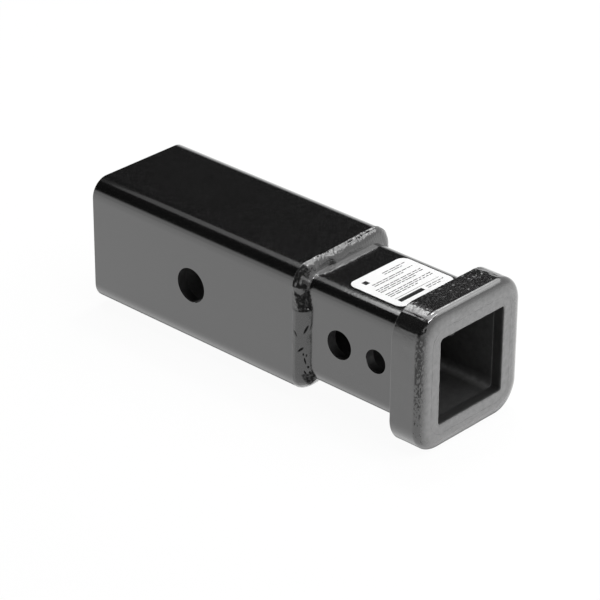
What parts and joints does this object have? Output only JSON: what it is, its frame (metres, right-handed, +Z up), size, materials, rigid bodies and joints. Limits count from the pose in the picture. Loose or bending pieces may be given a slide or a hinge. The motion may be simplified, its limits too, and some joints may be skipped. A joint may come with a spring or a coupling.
{
  "type": "hitch reducer sleeve",
  "caption": "Welded square steel sleeve that fits a large hitch receiver and takes a smaller square shank, with a collar round its mouth and cross holes for hitch pins.",
  "frame": {"origin": "centre of the shank tube's pin hole, on the axis of the tubes", "axes": "+X along the tubes from the rear end to the mouth, +Y along the pin holes, +Z up through the face that carries the sticker"},
  "size_m": [0.2485, 0.0826, 0.0826],
  "materials": {
    "black_paint": "gloss black paint with a light orange-peel texture",
    "collar_paint": "gloss black paint over rough hot-rolled bar",
    "weld_paint": "gloss black paint over rippled weld metal",
    "sticker": "white vinyl with grey and black bars"
  },
  "bodies": {
    "root": {"shank_tube": "black_paint", "receiver_tube": "black_paint", "collar": "collar_paint", "shank_weld": "weld_paint", "mouth_weld": "collar_paint", "label": "sticker"}
  },
  "joints": []
}
